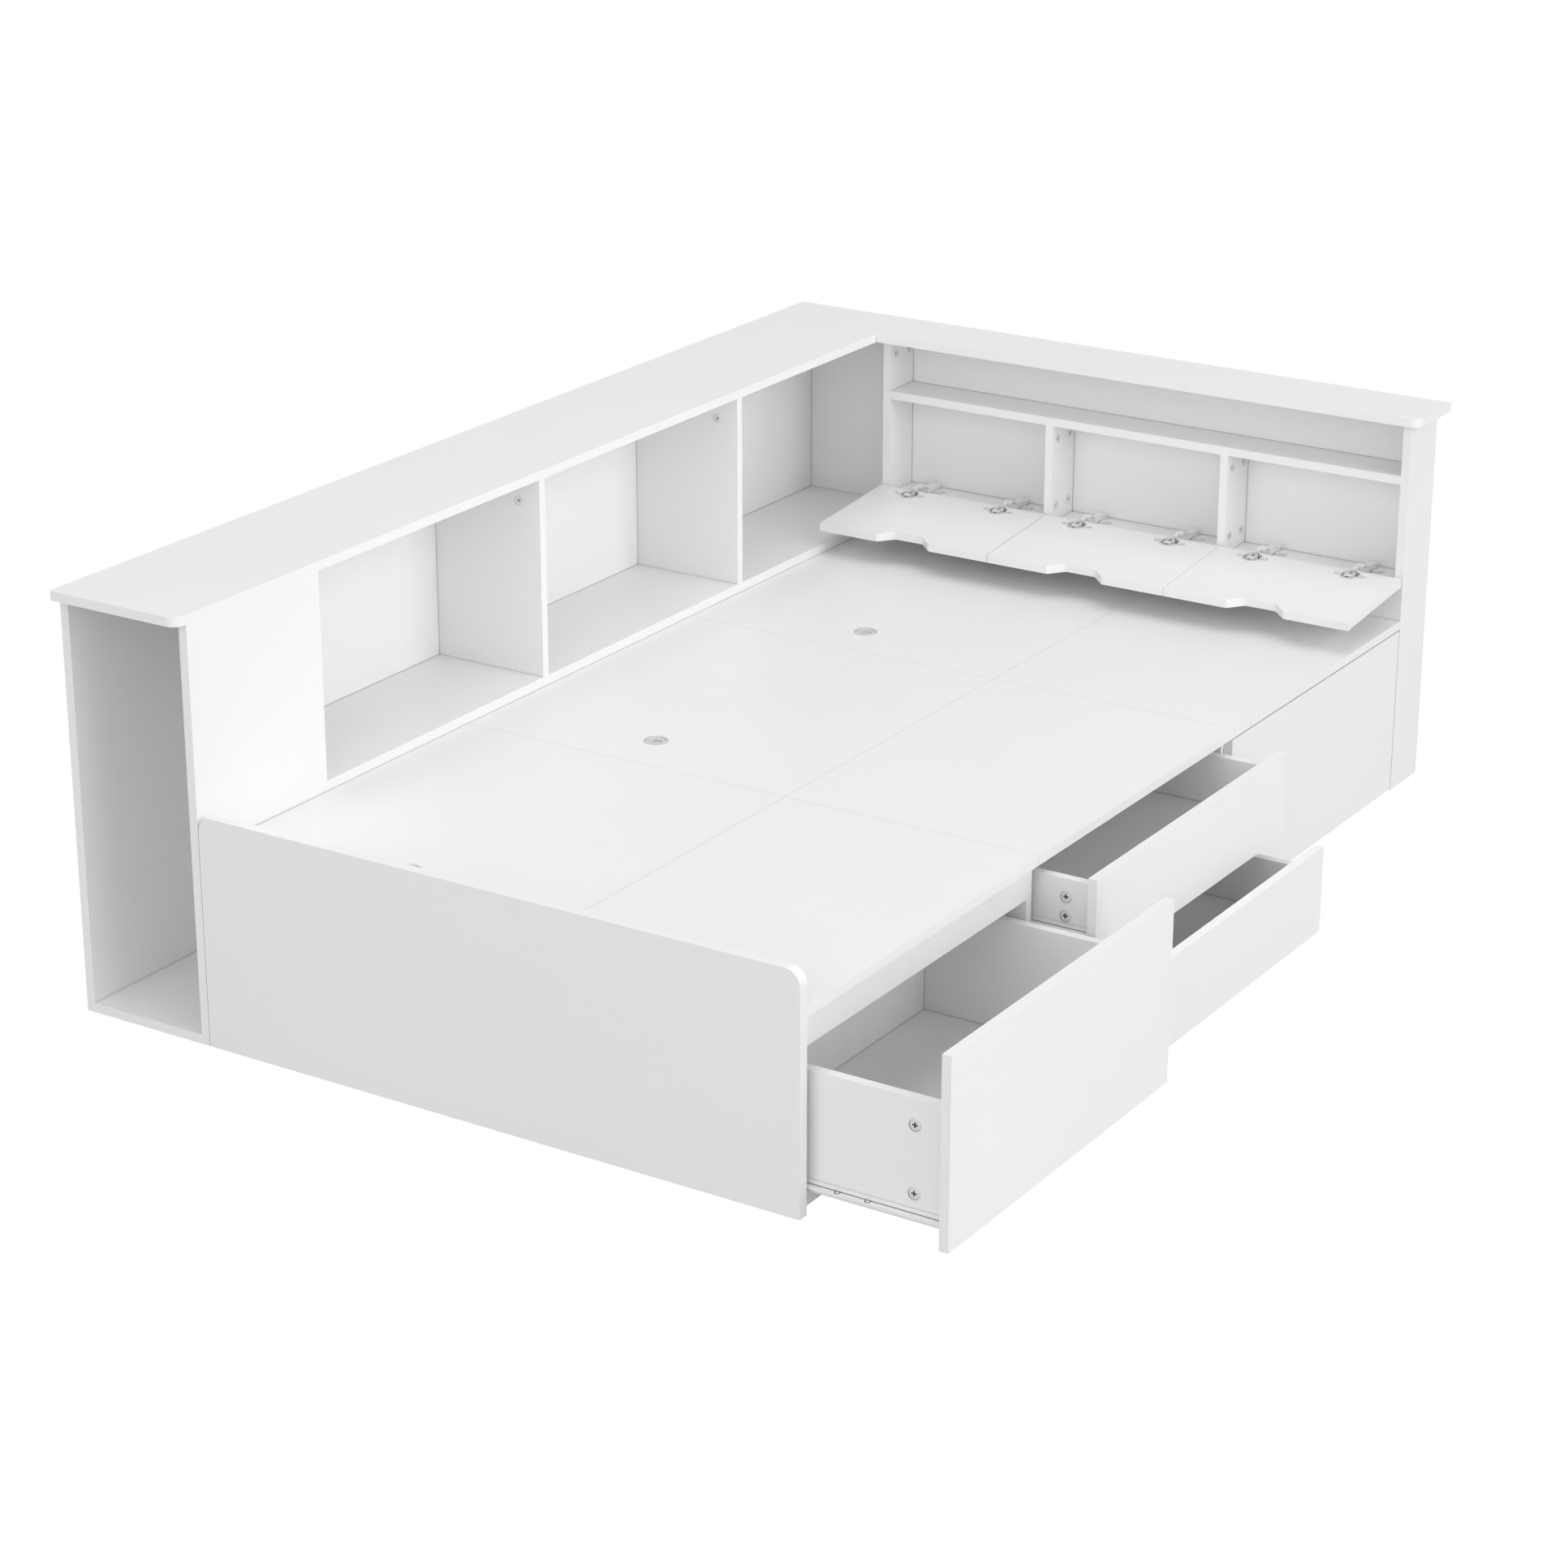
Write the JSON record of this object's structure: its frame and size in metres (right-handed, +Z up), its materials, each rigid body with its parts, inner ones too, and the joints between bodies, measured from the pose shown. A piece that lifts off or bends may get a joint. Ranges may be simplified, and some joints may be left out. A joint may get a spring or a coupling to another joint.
{
  "type": "platform bed with storage drawers",
  "caption": "Platform bed with side and head bookcases, drawers, lift-out deck lids over hidden storage and drop-down flaps at the head.",
  "frame": {"origin": "on the floor, under the middle of the box round the bed as stored, with its drawers part open", "axes": "+X to the drawer side, +Y to the head of the bed, +Z up"},
  "size_m": [1.526, 2.085, 0.687],
  "materials": {
    "laminated_board": "white satin melamine laminate on particle board, matching edge band",
    "thin_panel": "thin white-faced fibreboard, satin",
    "hidden_timber": "planed softwood, unfinished",
    "hinge_metal": "bright nickel plated steel",
    "slide_metal": "white epoxy coated steel with white nylon rollers",
    "pull_metal": "polished chrome",
    "cam_metal": "zinc plated, bright"
  },
  "bodies": {
    "bed_frame": {"side_top_board": "laminated_board", "niche_wall_panel": "laminated_board", "niche_front_panel": "laminated_board", "niche_bottom_board": "laminated_board", "side_divider_foot": "laminated_board", "side_dividers": "laminated_board", "side_end_panel": "laminated_board", "side_floor_board": "laminated_board", "side_lower_panel": "laminated_board", "side_back_panels": "thin_panel", "side_lower_supports": "laminated_board", "head_left_panel": "laminated_board", "head_right_panel": "laminated_board", "head_top_board": "laminated_board", "head_shelf": "laminated_board", "head_dividers": "laminated_board", "head_bottom_board": "laminated_board", "head_back_panel": "thin_panel", "head_front_panel": "laminated_board", "footboard": "laminated_board", "fixed_deck_panels": "laminated_board", "centre_partition": "laminated_board", "bay_dividers": "laminated_board", "front_rails": "laminated_board", "storage_floor_panels": "thin_panel", "deck_battens": "hidden_timber", "cabinet_slides": "slide_metal", "hinge_arms": "hinge_metal", "cam_locks": "cam_metal"},
    "lid_foot": {"lid_foot": "laminated_board", "lid_foot_pull_plate": "pull_metal"},
    "lid_foot_ring": {"lid_foot_pull_ring": "pull_metal"},
    "lid_middle": {"lid_middle": "laminated_board", "lid_middle_pull_plate": "pull_metal"},
    "lid_middle_ring": {"lid_middle_pull_ring": "pull_metal"},
    "lid_head": {"lid_head": "laminated_board", "lid_head_pull_plate": "pull_metal"},
    "lid_head_ring": {"lid_head_pull_ring": "pull_metal"},
    "flap_left": {"flap_left": "laminated_board", "flap_left_hinge_cups": "hinge_metal"},
    "flap_middle": {"flap_middle": "laminated_board", "flap_middle_hinge_cups": "hinge_metal"},
    "flap_right": {"flap_right": "laminated_board", "flap_right_hinge_cups": "hinge_metal"},
    "drawer_foot": {"drawer_foot_front": "laminated_board", "drawer_foot_box": "laminated_board", "drawer_foot_bottom": "thin_panel", "drawer_foot_slides": "slide_metal"},
    "drawer_mid_upper": {"drawer_mid_upper_front": "laminated_board", "drawer_mid_upper_box": "laminated_board", "drawer_mid_upper_bottom": "thin_panel", "drawer_mid_upper_slides": "slide_metal"},
    "drawer_mid_lower": {"drawer_mid_lower_front": "laminated_board", "drawer_mid_lower_box": "laminated_board", "drawer_mid_lower_bottom": "thin_panel", "drawer_mid_lower_slides": "slide_metal"},
    "drawer_head": {"drawer_head_front": "laminated_board", "drawer_head_box": "laminated_board", "drawer_head_bottom": "thin_panel", "drawer_head_slides": "slide_metal"}
  },
  "joints": [
    {"name": "drawer_foot_slide", "type": "slide", "parent": "bed_frame", "child": "drawer_foot", "axis": [1, 0, 0], "range_m": [-0.225, 0.075]},
    {"name": "drawer_mid_upper_slide", "type": "slide", "parent": "bed_frame", "child": "drawer_mid_upper", "axis": [1, 0, 0], "range_m": [-0.097, 0.203]},
    {"name": "drawer_mid_lower_slide", "type": "slide", "parent": "bed_frame", "child": "drawer_mid_lower", "axis": [1, 0, 0], "range_m": [-0.17, 0.13]},
    {"name": "drawer_head_slide", "type": "slide", "parent": "bed_frame", "child": "drawer_head", "axis": [1, 0, 0], "range_m": [0, 0.3]},
    {"name": "flap_left_hinge", "type": "hinge", "parent": "bed_frame", "child": "flap_left", "pos_m": [0.01, 0.9235, 0.3846], "axis": [1, 0, 0], "range_deg": [-95, 0]},
    {"name": "flap_middle_hinge", "type": "hinge", "parent": "bed_frame", "child": "flap_middle", "pos_m": [0.01, 0.9235, 0.3846], "axis": [1, 0, 0], "range_deg": [-95, 0]},
    {"name": "flap_right_hinge", "type": "hinge", "parent": "bed_frame", "child": "flap_right", "pos_m": [0.01, 0.9235, 0.3846], "axis": [1, 0, 0], "range_deg": [-95, 0]},
    {"name": "lid_foot_lift", "type": "slide", "parent": "bed_frame", "child": "lid_foot", "axis": [0, 0, 1], "range_m": [0, 0.4]},
    {"name": "lid_foot_ring_hinge", "type": "hinge", "parent": "lid_foot", "child": "lid_foot_ring", "pos_m": [-0.204, -0.9045, 0.3136], "axis": [0, 1, 0], "range_deg": [0, 90]},
    {"name": "lid_middle_lift", "type": "slide", "parent": "bed_frame", "child": "lid_middle", "axis": [0, 0, 1], "range_m": [0, 0.4]},
    {"name": "lid_middle_ring_hinge", "type": "hinge", "parent": "lid_middle", "child": "lid_middle_ring", "pos_m": [-0.204, -0.2585, 0.3136], "axis": [0, 1, 0], "range_deg": [0, 90]},
    {"name": "lid_head_lift", "type": "slide", "parent": "bed_frame", "child": "lid_head", "axis": [0, 0, 1], "range_m": [0, 0.04]},
    {"name": "lid_head_ring_hinge", "type": "hinge", "parent": "lid_head", "child": "lid_head_ring", "pos_m": [-0.204, 0.3835, 0.3136], "axis": [0, 1, 0], "range_deg": [0, 90]}
  ]
}
